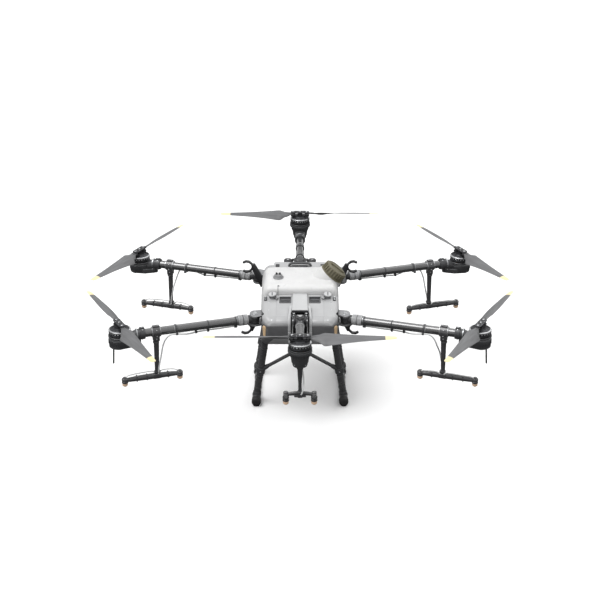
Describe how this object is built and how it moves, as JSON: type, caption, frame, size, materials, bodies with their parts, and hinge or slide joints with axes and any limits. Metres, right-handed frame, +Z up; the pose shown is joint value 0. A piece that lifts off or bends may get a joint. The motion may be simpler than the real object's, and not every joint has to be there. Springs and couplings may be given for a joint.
{
  "type": "agricultural spray drone",
  "caption": "Folding multirotor spray drone with radial arms, folding propellers, hanging spray lances, a lift-out liquid tank and battery, and tubular landing gear.",
  "frame": {"origin": "on the ground, under the middle of the aircraft", "axes": "+Z up; the nose points to -Y; +X is the aircraft's left-to-right axis seen from the front, so the propeller-to-propeller width runs along X"},
  "size_m": [2.3544, 1.8688, 0.7801],
  "materials": {
    "carbon": "clear-coated carbon-fibre tube, dark, with a soft sheen",
    "dark_plastic": "moulded dark grey nylon",
    "white_plastic": "painted light grey-white cover",
    "black_plastic": "moulded black nylon",
    "tank_plastic": "blow-moulded milky white polyethylene",
    "lid_plastic": "moulded khaki plastic",
    "motor_metal": "black anodised motor bell",
    "blade_composite": "carbon-filled nylon blade"
  },
  "bodies": {
    "airframe": {"center_frame": "carbon", "belly_pan": "dark_plastic", "front_shell": "white_plastic", "rear_shell": "white_plastic", "nose_spine": "white_plastic", "fpv_camera": "black_plastic", "radar_module": "black_plastic", "delivery_pump": "black_plastic", "leg_front_left": "carbon", "leg_front_right": "carbon", "leg_rear_left": "carbon", "leg_rear_right": "carbon", "skid_left": "carbon", "skid_right": "carbon", "leg_brace_front": "carbon", "leg_brace_rear": "carbon"},
    "tank": {"spray_tank": "tank_plastic", "tank_valve": "black_plastic"},
    "lid": {"tank_lid": "lid_plastic"},
    "battery": {"battery_pack": "dark_plastic"},
    "arm_front_left": {"arm_tube_front_left": "carbon", "motor_mount_front_left": "dark_plastic", "spray_lance_front_left": "black_plastic"},
    "rotor_front_left": {"rotor_hub_front_left": "motor_metal"},
    "blade_a_front_left": {"blade_a_front_left": "blade_composite"},
    "blade_b_front_left": {"blade_b_front_left": "blade_composite"},
    "sleeve_front_left": {"lock_sleeve_front_left": "dark_plastic"},
    "arm_front_right": {"arm_tube_front_right": "carbon", "motor_mount_front_right": "dark_plastic", "spray_lance_front_right": "black_plastic"},
    "rotor_front_right": {"rotor_hub_front_right": "motor_metal"},
    "blade_a_front_right": {"blade_a_front_right": "blade_composite"},
    "blade_b_front_right": {"blade_b_front_right": "blade_composite"},
    "sleeve_front_right": {"lock_sleeve_front_right": "dark_plastic"},
    "arm_rear_left": {"arm_tube_rear_left": "carbon", "motor_mount_rear_left": "dark_plastic", "spray_lance_rear_left": "black_plastic"},
    "rotor_rear_left": {"rotor_hub_rear_left": "motor_metal"},
    "blade_a_rear_left": {"blade_a_rear_left": "blade_composite"},
    "blade_b_rear_left": {"blade_b_rear_left": "blade_composite"},
    "sleeve_rear_left": {"lock_sleeve_rear_left": "dark_plastic"},
    "arm_rear_right": {"arm_tube_rear_right": "carbon", "motor_mount_rear_right": "dark_plastic", "spray_lance_rear_right": "black_plastic"},
    "rotor_rear_right": {"rotor_hub_rear_right": "motor_metal"},
    "blade_a_rear_right": {"blade_a_rear_right": "blade_composite"},
    "blade_b_rear_right": {"blade_b_rear_right": "blade_composite"},
    "sleeve_rear_right": {"lock_sleeve_rear_right": "dark_plastic"},
    "arm_nose": {"arm_tube_nose": "carbon", "motor_mount_nose": "dark_plastic", "spray_lance_nose": "black_plastic"},
    "rotor_nose": {"rotor_hub_nose": "motor_metal"},
    "blade_a_nose": {"blade_a_nose": "blade_composite"},
    "blade_b_nose": {"blade_b_nose": "blade_composite"},
    "arm_tail": {"arm_tube_tail": "carbon", "motor_mount_tail": "dark_plastic", "spray_lance_tail": "black_plastic"},
    "rotor_tail": {"rotor_hub_tail": "motor_metal"},
    "blade_a_tail": {"blade_a_tail": "blade_composite"},
    "blade_b_tail": {"blade_b_tail": "blade_composite"}
  },
  "joints": [
    {"name": "tank_lift", "type": "slide", "parent": "airframe", "child": "tank", "axis": [0, 0, 1], "range_m": [0, 0.3]},
    {"name": "lid_lift", "type": "slide", "parent": "tank", "child": "lid", "axis": [0.6428, 0, 0.766], "range_m": [0, 0.08]},
    {"name": "battery_lift", "type": "slide", "parent": "airframe", "child": "battery", "axis": [0, 0, 1], "range_m": [0, 0.4]},
    {"name": "arm_fold_front_left", "type": "hinge", "parent": "airframe", "child": "arm_front_left", "pos_m": [-0.245, -0.285, 0.57], "axis": [-0.0721, 0.2309, -0.9703], "range_deg": [0, 100]},
    {"name": "rotor_spin_front_left", "type": "hinge", "parent": "arm_front_left", "child": "rotor_front_left", "pos_m": [-0.9465, -0.504, 0.57], "axis": [0, 0, 1], "continuous": true},
    {"name": "blade_fold_a_front_left", "type": "hinge", "parent": "rotor_front_left", "child": "blade_a_front_left", "pos_m": [-0.9277, -0.53931, 0.6383], "axis": [0, 0, 1], "range_deg": [0, 98]},
    {"name": "blade_fold_b_front_left", "type": "hinge", "parent": "rotor_front_left", "child": "blade_b_front_left", "pos_m": [-0.9653, -0.46869, 0.6383], "axis": [0, 0, -1], "range_deg": [0, 78]},
    {"name": "lock_turn_front_left", "type": "hinge", "parent": "arm_front_left", "child": "sleeve_front_left", "pos_m": [-0.245, -0.285, 0.57], "axis": [-0.9546, -0.298, 0], "range_deg": [0, 90]},
    {"name": "arm_fold_front_right", "type": "hinge", "parent": "airframe", "child": "arm_front_right", "pos_m": [0.245, -0.285, 0.57], "axis": [-0.0721, -0.2309, 0.9703], "range_deg": [0, 100]},
    {"name": "rotor_spin_front_right", "type": "hinge", "parent": "arm_front_right", "child": "rotor_front_right", "pos_m": [0.9465, -0.504, 0.57], "axis": [0, 0, -1], "continuous": true},
    {"name": "blade_fold_a_front_right", "type": "hinge", "parent": "rotor_front_right", "child": "blade_a_front_right", "pos_m": [0.9653, -0.46869, 0.6383], "axis": [0, 0, 1], "range_deg": [0, 78]},
    {"name": "blade_fold_b_front_right", "type": "hinge", "parent": "rotor_front_right", "child": "blade_b_front_right", "pos_m": [0.9277, -0.53931, 0.6383], "axis": [0, 0, -1], "range_deg": [0, 98]},
    {"name": "lock_turn_front_right", "type": "hinge", "parent": "arm_front_right", "child": "sleeve_front_right", "pos_m": [0.245, -0.285, 0.57], "axis": [0.9546, -0.298, 0], "range_deg": [0, 90]},
    {"name": "arm_fold_rear_left", "type": "hinge", "parent": "airframe", "child": "arm_rear_left", "pos_m": [-0.245, 0.285, 0.57], "axis": [0.0721, 0.2309, -0.9703], "range_deg": [-40, 0]},
    {"name": "rotor_spin_rear_left", "type": "hinge", "parent": "arm_rear_left", "child": "rotor_rear_left", "pos_m": [-0.9465, 0.504, 0.57], "axis": [0, 0, -1], "continuous": true},
    {"name": "blade_fold_a_rear_left", "type": "hinge", "parent": "rotor_rear_left", "child": "blade_a_rear_left", "pos_m": [-0.9653, 0.46869, 0.6383], "axis": [0, 0, 1], "range_deg": [0, 78]},
    {"name": "blade_fold_b_rear_left", "type": "hinge", "parent": "rotor_rear_left", "child": "blade_b_rear_left", "pos_m": [-0.9277, 0.53931, 0.6383], "axis": [0, 0, -1], "range_deg": [0, 98]},
    {"name": "lock_turn_rear_left", "type": "hinge", "parent": "arm_rear_left", "child": "sleeve_rear_left", "pos_m": [-0.245, 0.285, 0.57], "axis": [-0.9546, 0.298, 0], "range_deg": [0, 90]},
    {"name": "arm_fold_rear_right", "type": "hinge", "parent": "airframe", "child": "arm_rear_right", "pos_m": [0.245, 0.285, 0.57], "axis": [0.0721, -0.2309, 0.9703], "range_deg": [-40, 0]},
    {"name": "rotor_spin_rear_right", "type": "hinge", "parent": "arm_rear_right", "child": "rotor_rear_right", "pos_m": [0.9465, 0.504, 0.57], "axis": [0, 0, 1], "continuous": true},
    {"name": "blade_fold_a_rear_right", "type": "hinge", "parent": "rotor_rear_right", "child": "blade_a_rear_right", "pos_m": [0.9277, 0.53931, 0.6383], "axis": [0, 0, 1], "range_deg": [0, 98]},
    {"name": "blade_fold_b_rear_right", "type": "hinge", "parent": "rotor_rear_right", "child": "blade_b_rear_right", "pos_m": [0.9653, 0.46869, 0.6383], "axis": [0, 0, -1], "range_deg": [0, 78]},
    {"name": "lock_turn_rear_right", "type": "hinge", "parent": "arm_rear_right", "child": "sleeve_rear_right", "pos_m": [0.245, 0.285, 0.57], "axis": [0.9546, 0.298, 0], "range_deg": [0, 90]},
    {"name": "arm_fold_nose", "type": "hinge", "parent": "airframe", "child": "arm_nose", "pos_m": [0, -0.4, 0.61], "axis": [1, 0, 0], "range_deg": [0, 60]},
    {"name": "rotor_spin_nose", "type": "hinge", "parent": "arm_nose", "child": "rotor_nose", "pos_m": [0, -0.86, 0.61], "axis": [0, 0, 1], "continuous": true},
    {"name": "blade_fold_a_nose", "type": "hinge", "parent": "rotor_nose", "child": "blade_a_nose", "pos_m": [0.04, -0.86, 0.7383], "axis": [0, 0, 1], "range_deg": [0, 88]},
    {"name": "blade_fold_b_nose", "type": "hinge", "parent": "rotor_nose", "child": "blade_b_nose", "pos_m": [-0.04, -0.86, 0.7383], "axis": [0, 0, -1], "range_deg": [0, 88]},
    {"name": "arm_fold_tail", "type": "hinge", "parent": "airframe", "child": "arm_tail", "pos_m": [0, 0.4, 0.61], "axis": [-1, 0, 0], "range_deg": [0, 60]},
    {"name": "rotor_spin_tail", "type": "hinge", "parent": "arm_tail", "child": "rotor_tail", "pos_m": [0, 0.86, 0.61], "axis": [0, 0, -1], "continuous": true},
    {"name": "blade_fold_a_tail", "type": "hinge", "parent": "rotor_tail", "child": "blade_a_tail", "pos_m": [-0.04, 0.86, 0.7383], "axis": [0, 0, 1], "range_deg": [0, 88]},
    {"name": "blade_fold_b_tail", "type": "hinge", "parent": "rotor_tail", "child": "blade_b_tail", "pos_m": [0.04, 0.86, 0.7383], "axis": [0, 0, -1], "range_deg": [0, 88]}
  ]
}
